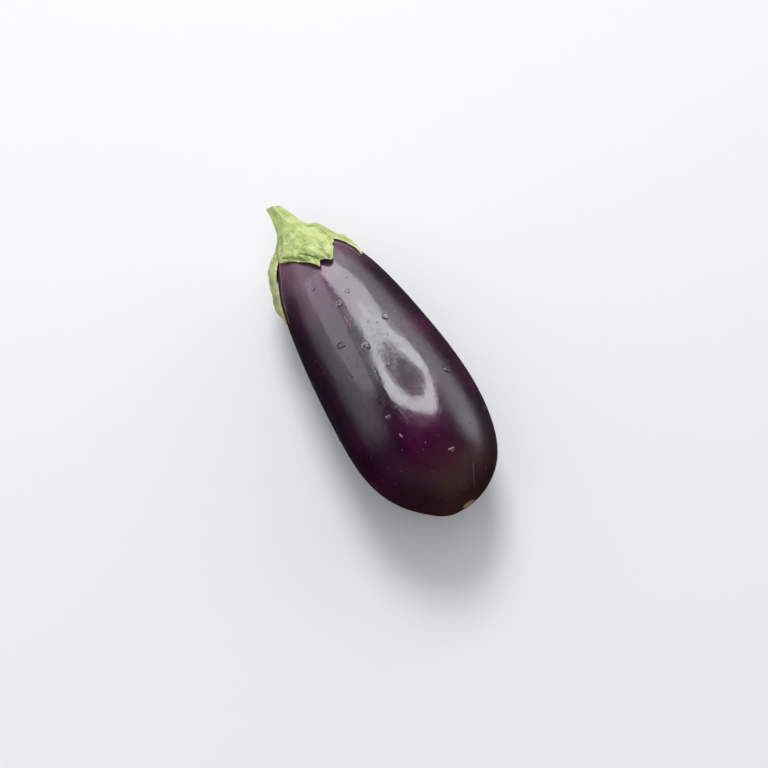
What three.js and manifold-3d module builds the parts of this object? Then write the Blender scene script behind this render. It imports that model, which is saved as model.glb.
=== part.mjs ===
// Eggplant (aubergine), picked, lying on its side.
//
// Three grown pieces: the fruit, the green calyx that caps its shoulder, and the stem.
// Millimetres, +Z up. The origin is the centre of the small flat that the fruit rests on.
// The fruit lies along X: stem towards -X, blossom end towards +X.
//
// Everything is described in the fruit's own frame first: x along its axis from the stem
// end, and an angle round it that is 0 at the top and grows towards +Y. The finished
// pieces are then tipped by REST_TILT, the attitude in which the centre of mass stands
// over the flat, and dropped so that the flat lies in the plane z = 0.
import * as THREE from "three";
import { mergeVertices } from "three/addons/utils/BufferGeometryUtils.js";
import Module from "manifold-3d";

// ---- driving dimensions -------------------------------------------------------------
// Control points of the fruit's profile, a uniform cubic B-spline mirrored at both ends.
const PROFILE_X = [-5.2, 9.11, 24.71, 41.17, 58.23, 75.67, 93.2, 110.77, 128.62, 146.74, 164.31, 179.81, 191.52, 197.94];
const PROFILE_R = [0, 14.44, 24.16, 30.33, 34.37, 37.36, 39.82, 41.74, 42.78, 42.25, 38.7, 30.83, 18.14, 0];

const REST_TILT = 3.85; // degrees, blossom end up
const FLAT_DEPTH = 0.4; // how far the resting flat cuts into the round underside
const UNDERSIDE_SLACK = 0.022; // the belly is this share flatter underneath

const CALYX_GAP = 0.45; // clear space between the calyx and the skin
const CALYX_THICK = 1.7; // calyx thickness away from the stem
const SEAM_S = 5.5; // where the calyx meets the stem, as an arc length from the fruit's top
const SEAM_RISE = 3.8; // extra thickness of the calyx there
const SEAM_FADE = 4; // arc length over which that rise fades

const STEM_LENGTH = 14.9; // from the seam to the middle of the cut
const STEM_R = 4.5; // radius near the cut
const STEM_SWAY = -1.5; // how far the cut lies off the seam along Y
const STEM_LIFT = 0.9; // and along Z
const STEM_GAP = 0.35; // clear space between the stem and the calyx
const CUT_SLANT = 20; // degrees, the cut's lean towards +Y

// Lobes of the calyx, in order round the fruit. All angles in degrees, lengths in mm.
// at: centre, half: half of its sector, drift: how far its tip swings round,
// tip: arc length of its tip from the fruit's top, end: half width at its tip,
// narrow: how fast it narrows, root and lift: how far it stands off the skin at its root
// and further out, peak: where along it the lift is highest, curl: how far its edges bend
// off the skin, flick: how far its tip does, blade: half width it keeps along its length,
// twist: how far its lower edge turns off the skin.
const LOBES = [
  { name: "front", at: -13, half: 53, drift: 15.5, tip: 52, end: 6.5, narrow: 0.15, blade: 0, root: 0, lift: 0.5, peak: 0.7, curl: 0.4, flick: 2.3, twist: 0, ragged: true },
  { name: "right", at: 72, half: 32, drift: -19, tip: 52, end: 0.8, narrow: 0.75, blade: 0.4, root: 0, lift: 0.2, peak: 0.5, curl: 0.3, flick: 0.2, twist: 0 },
  { name: "lower_right", at: 136, half: 32, drift: 5, tip: 54, end: 0.8, narrow: 0.7, blade: 0.7, root: 0, lift: 0.5, peak: 0.5, curl: 0.3, flick: 2.2, twist: 0 },
  { name: "lower_left", at: 204, half: 36, drift: -6, tip: 52, end: 0.8, narrow: 0.6, blade: 0.7, root: 0, lift: 0.5, peak: 0.5, curl: 0.3, flick: 1.4, twist: 0 },
  { name: "left", at: 267, half: 27, drift: 14, tip: 64, end: 0.8, narrow: 1.0, blade: 2.4, root: 1.8, lift: 0.4, peak: 0.3, curl: 0.2, flick: 0, twist: 2.8 },
];
// Arc length of the notch that follows each lobe.
const NOTCH_S = [33, 26, 24.5, 25, 25];
// The ragged tip of the front lobe: place across it from -1 to 1, arc length.
const RAGGED = [[-1, 48.3], [-0.62, 52.2], [-0.34, 49.2], [-0.05, 50.2], [0.42, 51.8], [0.72, 51.4], [1, 47.6]];
const SHOULDER = 2; // how far the calyx stands up on its +Y side, near the stem

const FRUIT_ROUND = 48; // facets round the fruit
const FRUIT_ALONG = 34; // facets along it
const LOBE_COLUMNS = 8;
const LOBE_ROWS = 7;
const CAP_S = [0, 0.14, 0.32, 0.55, 0.78, 1]; // rows of the cap, from the seam to the notch

// ---- the fruit's surface ------------------------------------------------------------
const rad = (d) => (d * Math.PI) / 180;
const LAST = PROFILE_X.length - 1;

function profile(u) {
  const i = Math.min(Math.floor(u), LAST - 1);
  const f = u - i;
  const w = [
    (1 - f) ** 3 / 6,
    (3 * f ** 3 - 6 * f ** 2 + 4) / 6,
    (-3 * f ** 3 + 3 * f ** 2 + 3 * f + 1) / 6,
    f ** 3 / 6,
  ];
  let x = 0;
  let r = 0;
  for (let k = 0; k < 4; k++) {
    let j = i - 1 + k;
    let sign = 1;
    if (j < 0) [j, sign] = [-j, -1];
    if (j > LAST) [j, sign] = [2 * LAST - j, -1];
    x += w[k] * PROFILE_X[j];
    r += w[k] * sign * PROFILE_R[j];
  }
  return [x, r];
}

// Arc length along the profile, as a table, and its inverse.
const STEPS = 1300;
const arc = [0];
for (let k = 1; k <= STEPS; k++) {
  const [xa, ra] = profile((LAST * (k - 1)) / STEPS);
  const [xb, rb] = profile((LAST * k) / STEPS);
  arc.push(arc[k - 1] + Math.hypot(xb - xa, rb - ra));
}
const ARC = arc[STEPS];
function uOf(s) {
  let lo = 0;
  let hi = STEPS;
  while (hi - lo > 1) {
    const mid = (lo + hi) >> 1;
    if (arc[mid] <= s) lo = mid;
    else hi = mid;
  }
  return (LAST * (lo + (s - arc[lo]) / (arc[hi] - arc[lo]))) / STEPS;
}

// The axis wanders a little: the stem end leans to -Y and the blossom end to +Y.
const axisY = (x) => -2.6 * Math.exp(-((x / 22) ** 2)) + 3.2 * Math.exp(-(((x - 197) / 26) ** 2));
const axisZ = (x) => 1.6 * ((x - 95) / 100) ** 2;
// The section is nearly round: slightly oval, faintly ribbed, and flatter under the belly.
function section(x, a) {
  const belly = Math.exp(-(((x - 140) / 34) ** 2));
  const along = Math.sin((Math.PI * Math.min(Math.max(x, 0), 195)) / 195);
  const under = Math.max(0, -Math.cos(a)) ** 2;
  return (
    1 +
    along * (-0.004 * Math.cos(2 * a) + 0.005 * Math.cos(3 * a) + 0.003 * Math.cos(5 * a + 0.02 * (x - 104))) -
    UNDERSIDE_SLACK * belly * under
  );
}
// The -Y side stands out beyond that at the neck and less at the waist, and the -Y
// shoulder of the blossom end reaches further than the scar at the end of the axis.
const bell = (x, centre, width) => Math.exp(-(((x - centre) / width) ** 2));
const lean = (x, r) =>
  Math.tanh(r / 10) * (1.5 * bell(x, 32, 25) - 1.7 * bell(x, 122, 34) + 0.8 * bell(x, 182, 12));
function skin(s, a) {
  const at = Math.min(Math.max(s, 0), ARC);
  const [x, r] = profile(uOf(at));
  const facing = (1 - Math.sin(a)) / 2;
  const q = r * section(x, a) + lean(x, r) * facing ** 2;
  const end = ARC - at;
  const reachOut = 2.6 * bell(end, 15, 11) * (1 - Math.exp(-((end / 6) ** 2))) * facing;
  return new THREE.Vector3(
    x + reachOut,
    axisY(x + reachOut) + q * Math.sin(a),
    axisZ(x + reachOut) + q * Math.cos(a),
  );
}
function outward(s, a) {
  const e = 0.25;
  const sa = Math.min(Math.max(s, e), ARC - e);
  const along = skin(sa + e, a).sub(skin(sa - e, a));
  const round = skin(sa, a + 0.01).sub(skin(sa, a - 0.01));
  return round.cross(along).normalize().multiplyScalar(-1);
}

// ---- from rows of points to a closed geometry ---------------------------------------
class Surface {
  constructor() {
    this.points = [];
    this.faces = [];
  }
  add(v) {
    this.points.push(v.x, v.y, v.z);
    return this.points.length / 3 - 1;
  }
  tri(a, b, c) {
    this.faces.push(a, b, c);
  }
  quad(a, b, c, d) {
    this.tri(a, b, c);
    this.tri(a, c, d);
  }
  geometry() {
    return new THREE.BufferGeometry()
      .setAttribute("position", new THREE.BufferAttribute(new Float32Array(this.points), 3))
      .setIndex(this.faces);
  }
}

function fruitGeometry() {
  const g = new Surface();
  const top = g.add(skin(0, 0));
  const rows = [];
  for (let i = 1; i < FRUIT_ALONG; i++) {
    const row = [];
    for (let j = 0; j < FRUIT_ROUND; j++)
      row.push(g.add(skin((ARC * i) / FRUIT_ALONG, (2 * Math.PI * j) / FRUIT_ROUND)));
    rows.push(row);
  }
  const end = g.add(skin(ARC, 0));
  for (let j = 0; j < FRUIT_ROUND; j++) {
    const k = (j + 1) % FRUIT_ROUND;
    g.tri(top, rows[0][j], rows[0][k]);
    for (let i = 0; i + 1 < rows.length; i++) g.quad(rows[i][j], rows[i + 1][j], rows[i + 1][k], rows[i][k]);
    g.tri(end, rows.at(-1)[k], rows.at(-1)[j]);
  }
  return g.geometry();
}

// ---- the calyx ----------------------------------------------------------------------
const ease = (x) => {
  const k = Math.min(Math.max(x, 0), 1);
  return k * k * (3 - 2 * k);
};
// Distance round the axis, in mm, for one radian at arc length s.
const reach = (s) => profile(uOf(s))[1] + 1.5;

const raggedTip = (u) => {
  const i = Math.min(Math.max(RAGGED.findIndex(([x]) => x >= u), 1), RAGGED.length - 1);
  const [x0, s0] = RAGGED[i - 1];
  const [x1, s1] = RAGGED[i];
  return s0 + ((s1 - s0) * (u - x0)) / (x1 - x0);
};
// How far the shoulder stands up at arc length s and angle a.
const shoulder = (s, a) => {
  const off = ((((a - rad(60) + Math.PI) % (2 * Math.PI)) + 2 * Math.PI) % (2 * Math.PI)) - Math.PI;
  return SHOULDER * Math.exp(-(((s - 17) / 8) ** 2)) * Math.exp(-((off / rad(36)) ** 2));
};

// A point of the calyx: lobe k, u from -1 to 1 across it, t from 0 at the seam to 1 at
// the notch and 2 at the tip. side 0 is the face to the skin, 1 the outer face.
function calyxPoint(k, u, t, side) {
  const lobe = LOBES[k];
  const before = NOTCH_S[(k + LOBES.length - 1) % LOBES.length];
  const notch = before + ((NOTCH_S[k] - before) * (u + 1)) / 2;
  const at = rad(lobe.at);
  const half = rad(lobe.half);
  if (t <= 1) {
    const s = SEAM_S + (notch - SEAM_S) * t;
    const rise = SEAM_RISE * Math.exp(-(s - SEAM_S) / SEAM_FADE);
    const a = at + half * u;
    // the edges of a sector belong to its neighbour as well, so a stand-off ends there
    const stand = (lobe.root * ease((t - 0.25) / 0.75) + ((lobe.twist * (1 - u)) / 2) * ease((t - 0.5) / 0.5)) * (1 - u * u) + shoulder(s, a);
    return skin(s, a).addScaledVector(outward(s, a), CALYX_GAP + stand + (side ? CALYX_THICK + rise : 0));
  }
  const v = t - 1;
  let tip = lobe.tip;
  if (lobe.ragged) tip = raggedTip(u);
  else tip -= (tip - notch) * 0.05 * u * u;
  const s = notch + (tip - notch) * v;
  const root = half * reach(notch);
  const shape = (1 - v) * Math.exp(-lobe.narrow * 2 * v);
  const width = lobe.end + (root - lobe.end) * shape + lobe.blade * ease(v / 0.3) * (1 - v ** 5);
  const swing = lobe.ragged ? v * (1.6 - 0.6 * v) : v;
  const a = at + rad(lobe.drift) * swing + (u * width) / (reach(notch) + (reach(s) - reach(notch)) * v);
  const hump = Math.sin(Math.PI * Math.min(1, v ** (Math.log(0.5) / Math.log(lobe.peak))));
  const edges = 1 - u * u * (1 - v) ** 3;
  const lift =
    lobe.lift * hump +
    lobe.flick * ease((v - 0.5) / 0.5) ** 1.5 +
    lobe.root * (1 - v) ** 2 * edges +
    ((lobe.twist * (1 - u)) / 2) * edges * (1 - 0.75 * ease((v - 0.7) / 0.3)) +
    lobe.curl * u * u * v +
    shoulder(s, a);
  const thick = CALYX_THICK * (1 - 0.45 * v);
  return skin(s, a).addScaledVector(outward(s, a), CALYX_GAP + lift + (side ? thick : 0));
}

function calyxGeometry() {
  const g = new Surface();
  const count = LOBES.length * LOBE_COLUMNS;
  const u = (c) => -1 + (2 * (c % LOBE_COLUMNS)) / LOBE_COLUMNS;
  const faces = [0, 1].map((side) => {
    const cap = CAP_S.map((t) => {
      const row = [];
      for (let c = 0; c < count; c++) row.push(g.add(calyxPoint(Math.floor(c / LOBE_COLUMNS), u(c), t, side)));
      return row;
    });
    const lobes = LOBES.map((_, k) => {
      const first = cap.at(-1);
      const rows = [[]];
      for (let c = 0; c <= LOBE_COLUMNS; c++) rows[0].push(first[(k * LOBE_COLUMNS + c) % count]);
      for (let i = 1; i <= LOBE_ROWS; i++) {
        const row = [];
        for (let c = 0; c <= LOBE_COLUMNS; c++)
          row.push(g.add(calyxPoint(k, -1 + (2 * c) / LOBE_COLUMNS, 1 + i / LOBE_ROWS, side)));
        rows.push(row);
      }
      return rows;
    });
    return { cap, lobes };
  });
  const grid = (rows, closed, flip) => {
    for (let i = 0; i + 1 < rows.length; i++) {
      const n = rows[i].length;
      for (let c = 0; c < (closed ? n : n - 1); c++) {
        const d = (c + 1) % n;
        if (flip) g.quad(rows[i][c], rows[i][d], rows[i + 1][d], rows[i + 1][c]);
        else g.quad(rows[i][c], rows[i + 1][c], rows[i + 1][d], rows[i][d]);
      }
    }
  };
  faces.forEach(({ cap, lobes }, side) => {
    grid(cap, true, side === 0);
    lobes.forEach((rows) => grid(rows, false, side === 0));
  });
  // The face towards the stem, and the face over the fruit's top.
  const [inner, outer] = faces;
  const centre = (row) => {
    const sum = new THREE.Vector3();
    for (const i of row) sum.add(new THREE.Vector3(g.points[3 * i], g.points[3 * i + 1], g.points[3 * i + 2]));
    return sum.multiplyScalar(1 / row.length);
  };
  const seam = outer.cap[0];
  const hub = g.add(centre(seam));
  const pole = g.add(skin(0, 0).add(new THREE.Vector3(-CALYX_GAP, 0, 0)));
  for (let c = 0; c < count; c++) {
    const d = (c + 1) % count;
    g.tri(hub, seam[c], seam[d]);
    g.tri(pole, inner.cap[0][d], inner.cap[0][c]);
  }
  // The rim round each lobe.
  LOBES.forEach((_, k) => {
    const a = inner.lobes[k];
    const b = outer.lobes[k];
    for (let i = 0; i < LOBE_ROWS; i++) {
      g.quad(b[i][0], a[i][0], a[i + 1][0], b[i + 1][0]);
      g.quad(a[i].at(-1), b[i].at(-1), b[i + 1].at(-1), a[i + 1].at(-1));
    }
    for (let c = 0; c < LOBE_COLUMNS; c++) g.quad(a.at(-1)[c], a.at(-1)[c + 1], b.at(-1)[c + 1], b.at(-1)[c]);
  });
  return { geometry: g.geometry(), seam: seam.map((i) => new THREE.Vector3().fromArray(g.points, 3 * i)), hub: centre(seam) };
}

// ---- the stem -----------------------------------------------------------------------
function stemGeometry(seam, hub) {
  const g = new Surface();
  const n = seam.length;
  const rows = [seam.map((p) => g.add(p.clone().setX(p.x - STEM_GAP)))];
  const angle = (p) => Math.atan2(p.y - hub.y, p.z - hub.z);
  const STATIONS = [0.1, 0.22, 0.38, 0.56, 0.76, 0.92, 1];
  for (const t of STATIONS) {
    const row = seam.map((p) => {
      const a = angle(p);
      const base = Math.hypot(p.y - hub.y, p.z - hub.z);
      const w = (1 - t) ** 1.15;
      const ridge = 1 + 0.045 * Math.cos(6 * a + 0.5);
      const r = (base * w + STEM_R * (1 - w)) * (1 + (ridge - 1) * Math.min(1, 2 * t)) * (1 + 0.05 * t ** 6);
      const y = hub.y + STEM_SWAY * t * t + r * Math.sin(a);
      const z = hub.z + STEM_LIFT * t + r * Math.cos(a);
      const start = p.x - STEM_GAP;
      const end = hub.x - STEM_GAP - STEM_LENGTH + Math.tan(rad(CUT_SLANT)) * r * Math.sin(a);
      return g.add(new THREE.Vector3(start + (end - start) * t, y, z));
    });
    rows.push(row);
  }
  const low = g.add(hub.clone().setX(hub.x - STEM_GAP));
  const high = g.add(new THREE.Vector3(hub.x - STEM_GAP - STEM_LENGTH, hub.y + STEM_SWAY, hub.z + STEM_LIFT));
  for (let c = 0; c < n; c++) {
    const d = (c + 1) % n;
    g.tri(low, rows[0][d], rows[0][c]);
    for (let i = 0; i + 1 < rows.length; i++) g.quad(rows[i][c], rows[i][d], rows[i + 1][d], rows[i + 1][c]);
    g.tri(high, rows.at(-1)[c], rows.at(-1)[d]);
  }
  return g.geometry();
}

// ---- placing it at rest -------------------------------------------------------------
const wasm = await Module();
wasm.setup();
function solid(geometry) {
  const merged = mergeVertices(geometry, 1e-4);
  return new wasm.Manifold(
    new wasm.Mesh({ numProp: 3, vertProperties: merged.attributes.position.array, triVerts: new Uint32Array(merged.index.array) }),
  );
}
function geometryOf(made) {
  const m = made.getMesh();
  const v = new Float32Array(m.numVert * 3);
  for (let i = 0; i < m.numVert; i++) v.set(m.vertProperties.subarray(i * m.numProp, i * m.numProp + 3), i * 3);
  const g = new THREE.BufferGeometry();
  g.setAttribute("position", new THREE.BufferAttribute(v, 3));
  g.setIndex(new THREE.BufferAttribute(new Uint32Array(m.triVerts), 1));
  g.computeVertexNormals();
  return g;
}

// The lowest point of the tipped skin, on a fine grid: the flat is centred under it.
const tip = new THREE.Matrix4().makeRotationY(rad(-REST_TILT));
let lowest = new THREE.Vector3(0, 0, Infinity);
for (let s = 90; s < 160; s += 0.25)
  for (let a = 150; a < 210; a += 0.25) {
    const p = skin(s, rad(a)).applyMatrix4(tip);
    if (p.z < lowest.z) lowest = p;
  }
const toRest = new THREE.Matrix4()
  .makeTranslation(-lowest.x, -lowest.y, -(lowest.z + FLAT_DEPTH))
  .multiply(tip);

const calyxMade = calyxGeometry();
const fruitRound = fruitGeometry().applyMatrix4(toRest);
const calyxBody = calyxMade.geometry.applyMatrix4(toRest);
const stemBody = stemGeometry(calyxMade.seam, calyxMade.hub).applyMatrix4(toRest);

// Everything of the fruit below z = 0 is cut away, which leaves the flat.
const slab = solid(new THREE.BoxGeometry(200, 200, 20).translate(0, 0, -10).deleteAttribute("normal").deleteAttribute("uv"));
const fruitBody = geometryOf(solid(fruitRound).subtract(slab));

// ---- the object ---------------------------------------------------------------------
const eggplant = new THREE.Group();
function piece(name, geometry, colour, roughness) {
  const mesh = new THREE.Mesh(geometry, new THREE.MeshStandardMaterial({ color: colour, roughness, metalness: 0 }));
  mesh.name = name;
  eggplant.add(mesh);
}
piece("fruit", fruitBody, 0x2c1230, 0.15);
piece("calyx", geometryOf(solid(calyxBody)), 0xa9bf6a, 0.6);
piece("stem", geometryOf(solid(stemBody)), 0x9db85c, 0.6);

export default eggplant;
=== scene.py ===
import math

import bpy
import numpy as np
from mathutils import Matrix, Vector


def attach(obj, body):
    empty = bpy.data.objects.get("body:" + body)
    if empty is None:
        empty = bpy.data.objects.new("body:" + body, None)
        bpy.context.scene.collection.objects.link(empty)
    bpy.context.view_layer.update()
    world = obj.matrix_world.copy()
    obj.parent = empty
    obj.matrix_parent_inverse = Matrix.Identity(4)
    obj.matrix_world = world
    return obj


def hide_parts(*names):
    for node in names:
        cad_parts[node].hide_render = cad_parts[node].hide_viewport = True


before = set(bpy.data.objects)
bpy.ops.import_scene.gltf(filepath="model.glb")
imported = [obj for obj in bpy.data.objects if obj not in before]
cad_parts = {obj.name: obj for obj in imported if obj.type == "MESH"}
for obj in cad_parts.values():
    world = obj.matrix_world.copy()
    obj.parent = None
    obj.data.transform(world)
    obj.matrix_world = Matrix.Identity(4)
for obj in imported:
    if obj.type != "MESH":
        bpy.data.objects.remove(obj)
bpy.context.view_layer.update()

MM = 0.001

# ---------------------------------------------------------------------------
# The fruit's surface: the same profile, axis and section as the CAD part.
# Lengths in millimetres until a mesh is made.
# ---------------------------------------------------------------------------
PROFILE_X = np.array([-5.2, 9.11, 24.71, 41.17, 58.23, 75.67, 93.2, 110.77, 128.62, 146.74, 164.31, 179.81, 191.52, 197.94])
PROFILE_R = np.array([0, 14.44, 24.16, 30.33, 34.37, 37.36, 39.82, 41.74, 42.78, 42.25, 38.7, 30.83, 18.14, 0])
REST_TILT = math.radians(3.85)
FLAT_DEPTH = 0.4
UNDERSIDE_SLACK = 0.022
CALYX_GAP = 0.25
SEAM_S, SEAM_RISE, SEAM_FADE = 5.5, 3.8, 4.0
STEM_LENGTH, STEM_R, CUT_SLANT = 15.25, 4.5, math.radians(20)
STEM_SWAY, STEM_LIFT = -1.5, 0.9  # how far the cut end lies off the seam, along Y and Z
LAST = len(PROFILE_X) - 1

# knots mirrored at both ends, so that the ends are round
_X = np.concatenate([PROFILE_X[1:2], PROFILE_X, PROFILE_X[-2:-1]])
_R = np.concatenate([-PROFILE_R[1:2], PROFILE_R, -PROFILE_R[-2:-1]])


def profile(u):
    u = np.asarray(u, float)
    i = np.minimum(np.floor(u).astype(int), LAST - 1)
    f = u - i
    w = [(1 - f) ** 3 / 6, (3 * f**3 - 6 * f**2 + 4) / 6, (-3 * f**3 + 3 * f**2 + 3 * f + 1) / 6, f**3 / 6]
    x = sum(w[k] * _X[i + k] for k in range(4))
    r = sum(w[k] * _R[i + k] for k in range(4))
    return x, r


_U = np.linspace(0, LAST, 4001)
_PX, _PR = profile(_U)
_ARC = np.concatenate([[0], np.cumsum(np.hypot(np.diff(_PX), np.diff(_PR)))])
ARC = _ARC[-1]


def at_arc(s):
    return profile(np.interp(np.clip(s, 0, ARC), _ARC, _U))


def axis_y(x):
    return -2.6 * np.exp(-((x / 22) ** 2)) + 3.2 * np.exp(-(((x - 197) / 26) ** 2))


def axis_z(x):
    return 1.6 * ((x - 95) / 100) ** 2


def section(x, a):
    belly = np.exp(-(((x - 140) / 34) ** 2))
    along = np.sin(np.pi * np.clip(x, 0, 195) / 195)
    under = np.maximum(0, -np.cos(a)) ** 2
    return (
        1
        + along * (-0.004 * np.cos(2 * a) + 0.005 * np.cos(3 * a) + 0.003 * np.cos(5 * a + 0.02 * (x - 104)))
        - UNDERSIDE_SLACK * belly * under
    )


def lean(x, r):
    """How far the -Y side stands out beyond a round section, in millimetres."""
    return np.tanh(r / 10) * (
        1.5 * np.exp(-(((x - 32) / 25) ** 2)) - 1.7 * np.exp(-(((x - 122) / 34) ** 2)) + 0.8 * np.exp(-(((x - 182) / 12) ** 2))
    )


def skin(s, a):
    s, a = np.broadcast_arrays(np.asarray(s, float), np.asarray(a, float))
    x, r = at_arc(s)
    facing = (1 - np.sin(a)) / 2
    q = r * section(x, a) + lean(x, r) * facing**2
    d = ARC - np.clip(s, 0, ARC)
    # the blossom end is lopsided: its -Y shoulder reaches further than the scar
    x = x + 2.6 * np.exp(-(((d - 15) / 11) ** 2)) * (1 - np.exp(-((d / 6) ** 2))) * facing
    return np.stack([x, axis_y(x) + q * np.sin(a), axis_z(x) + q * np.cos(a)], -1)


def outward(s, a):
    s, a = np.broadcast_arrays(np.asarray(s, float), np.asarray(a, float))
    e = 0.25
    sa = np.clip(s, e, ARC - e)
    along = skin(sa + e, a) - skin(sa - e, a)
    around = skin(sa, a + 0.01) - skin(sa, a - 0.01)
    n = np.cross(along, around)
    return n / np.linalg.norm(n, axis=-1, keepdims=True)


_c, _s = math.cos(REST_TILT), math.sin(REST_TILT)
TIP = np.array([[_c, 0, -_s], [0, 1, 0], [_s, 0, _c]])
_S, _A = np.meshgrid(np.arange(90, 160, 0.25), np.radians(np.arange(150, 210, 0.25)), indexing="ij")
_P = (skin(_S, _A) @ TIP.T).reshape(-1, 3)
_LOW = _P[np.argmin(_P[:, 2])]
DROP = np.array([-_LOW[0], -_LOW[1], -(_LOW[2] + FLAT_DEPTH)])


def rest(p):
    """From the fruit's own frame to the row frame, in millimetres."""
    return p @ TIP.T + DROP


# ---------------------------------------------------------------------------
# Helpers
# ---------------------------------------------------------------------------
def smooth(lo, hi, v):
    t = np.clip((v - lo) / (hi - lo), 0, 1)
    return t * t * (3 - 2 * t)


_rng = np.random.default_rng(7)
_PERM = np.concatenate([_rng.permutation(256)] * 3)
_GRAD = _rng.normal(size=(256, 3))
_GRAD /= np.linalg.norm(_GRAD, axis=1, keepdims=True)


def noise(p, seed=0):
    """Gradient noise, about -1 to 1, at points of any shape (..., 3)."""
    p = np.asarray(p, float) + seed * 17.31
    c = np.floor(p).astype(int)
    f = p - c
    w = f * f * f * (f * (f * 6 - 15) + 10)
    out = 0
    for i in (0, 1):
        for j in (0, 1):
            for k in (0, 1):
                h = _PERM[(_PERM[(_PERM[(c[..., 0] + i) & 255] + c[..., 1] + j) & 255] + c[..., 2] + k) & 255]
                d = f - np.array([i, j, k])
                g = (_GRAD[h] * d).sum(-1)
                out = out + g * (w[..., 0] if i else 1 - w[..., 0]) * (w[..., 1] if j else 1 - w[..., 1]) * (w[..., 2] if k else 1 - w[..., 2])
    return out * 1.6


def mesh_object(name, points_mm, faces, node=None, sharp=None, attributes=None):
    mesh = bpy.data.meshes.new(name)
    mesh.from_pydata((np.asarray(points_mm) * MM).tolist(), [], faces)
    mesh.update()
    mesh.shade_smooth()
    for key, values in (attributes or {}).items():
        a = mesh.attributes.new(key, "FLOAT", "POINT")
        a.data.foreach_set("value", np.asarray(values, np.float32))
    if sharp:
        flags = np.zeros(len(mesh.edges), bool)
        pairs = np.empty(len(mesh.edges) * 2, int)
        mesh.edges.foreach_get("vertices", pairs)
        pairs = np.sort(pairs.reshape(-1, 2), axis=1)
        index = {tuple(p): i for i, p in enumerate(map(tuple, pairs))}
        for e in sharp:
            i = index.get(tuple(sorted(e)))
            if i is not None:
                flags[i] = True
        a = mesh.attributes.get("sharp_edge") or mesh.attributes.new("sharp_edge", "BOOLEAN", "EDGE")
        a.data.foreach_set("value", flags)
    obj = bpy.data.objects.new(name, mesh)
    bpy.context.scene.collection.objects.link(obj)
    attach(obj, "root")
    if node:
        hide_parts(node)
    return obj


# ---------------------------------------------------------------------------
# The fruit
# ---------------------------------------------------------------------------
ROUND, ALONG = 360, 236


def fruit_relief(s, a, p):
    """Height of the skin's unevenness, in millimetres."""
    h = 0.20 * noise(p / [46, 24, 24], 1) + 0.075 * noise(p / [22, 11, 11], 2) + 0.012 * noise(p / [8, 5, 5], 9)
    # faint ribs that gather under the calyx
    h = h + 0.10 * np.cos(11 * a + 0.6 * np.sin(2 * a)) * np.exp(-(((s - 34) / 16) ** 2))
    # the blossom scar: a shallow dimple with a raised rim
    d = ARC - s
    wob = 1 + 0.14 * np.cos(2 * a + 0.6) + 0.07 * np.cos(3 * a)
    h = h - 0.9 * np.exp(-((d / (3.3 * wob)) ** 2)) + 0.28 * np.exp(-(((d - 5.4 * wob) / 1.3) ** 2))
    return h


def build_fruit():
    t = np.linspace(0, 1, ALONG + 1)[1:-1]
    # rows a little closer together at the two ends
    s = ARC * (t - 0.045 * np.sin(2 * np.pi * t))
    a = np.arange(ROUND) * 2 * np.pi / ROUND
    S, A = np.meshgrid(s, a, indexing="ij")
    base = skin(S, A)
    p = base + outward(S, A) * fruit_relief(S, A, base)[..., None]
    top = skin(0.0, 0.0)
    end = skin(ARC, 0.0) + np.array([1.0, 0, 0]) * -0.9
    pts = rest(np.concatenate([p.reshape(-1, 3), [top], [end]]))
    # the belly presses flat on the surface it lies on
    pts[:, 2] = np.maximum(pts[:, 2], 0.0)
    n = ROUND
    rows = len(s)
    faces = []
    for i in range(rows - 1):
        for j in range(n):
            k = (j + 1) % n
            faces.append((i * n + j, (i + 1) * n + j, (i + 1) * n + k, i * n + k))
    T, E = rows * n, rows * n + 1
    for j in range(n):
        k = (j + 1) % n
        faces.append((T, j, k))
        faces.append((E, (rows - 1) * n + k, (rows - 1) * n + j))
    along = np.concatenate([S.ravel(), [0, ARC]])
    scar = ARC - along
    wob = 1 + 0.14 * np.cos(2 * A + 0.6) + 0.07 * np.cos(3 * A)
    scar = scar / np.concatenate([wob.ravel(), [1, 1]])
    return mesh_object(
        "fruit_skin", pts, faces, node="fruit",
        attributes={
            "along": along,
            "scar": scar,
            "across": np.concatenate([40 * np.sin(A).ravel(), [0, 0]]),
            "upper": np.concatenate([np.cos(A).ravel(), [0, 0]]),
        },
    )


# ---------------------------------------------------------------------------
# The calyx and the stem
# ---------------------------------------------------------------------------
# at, half: direction and half sector in degrees; drift: swing of the tip; tip: arc
# length of the tip; end: half width there; narrow; lift and where it peaks; curl.
LOBES = [
    dict(name="front", at=-13, half=53, drift=15.5, tip=52, end=6.5, narrow=0.15, blade=0.0, root=0.0, lift=0.5, peak=0.7, curl=0.8, flick=2.3, twist=0.0),
    dict(name="right", at=72, half=32, drift=-19, tip=52, end=0.25, narrow=0.75, blade=0.5, root=0.0, lift=0.2, peak=0.5, curl=0.5, flick=0.2, twist=0.0),
    dict(name="lower_right", at=136, half=32, drift=5, tip=54, end=0.25, narrow=0.7, blade=0.8, root=0.0, lift=0.5, peak=0.5, curl=0.6, flick=2.2, twist=0.0),
    dict(name="lower_left", at=204, half=36, drift=-6, tip=52, end=0.25, narrow=0.6, blade=0.8, root=0.0, lift=0.5, peak=0.5, curl=0.6, flick=1.4, twist=0.0),
    dict(name="left", at=267, half=27, drift=14, tip=64, end=0.25, narrow=1.0, blade=2.6, root=1.8, lift=0.4, peak=0.30, curl=0.3, flick=0.0, twist=2.8),
]
NOTCH_S = [33, 26, 24.5, 25, 25]
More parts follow.
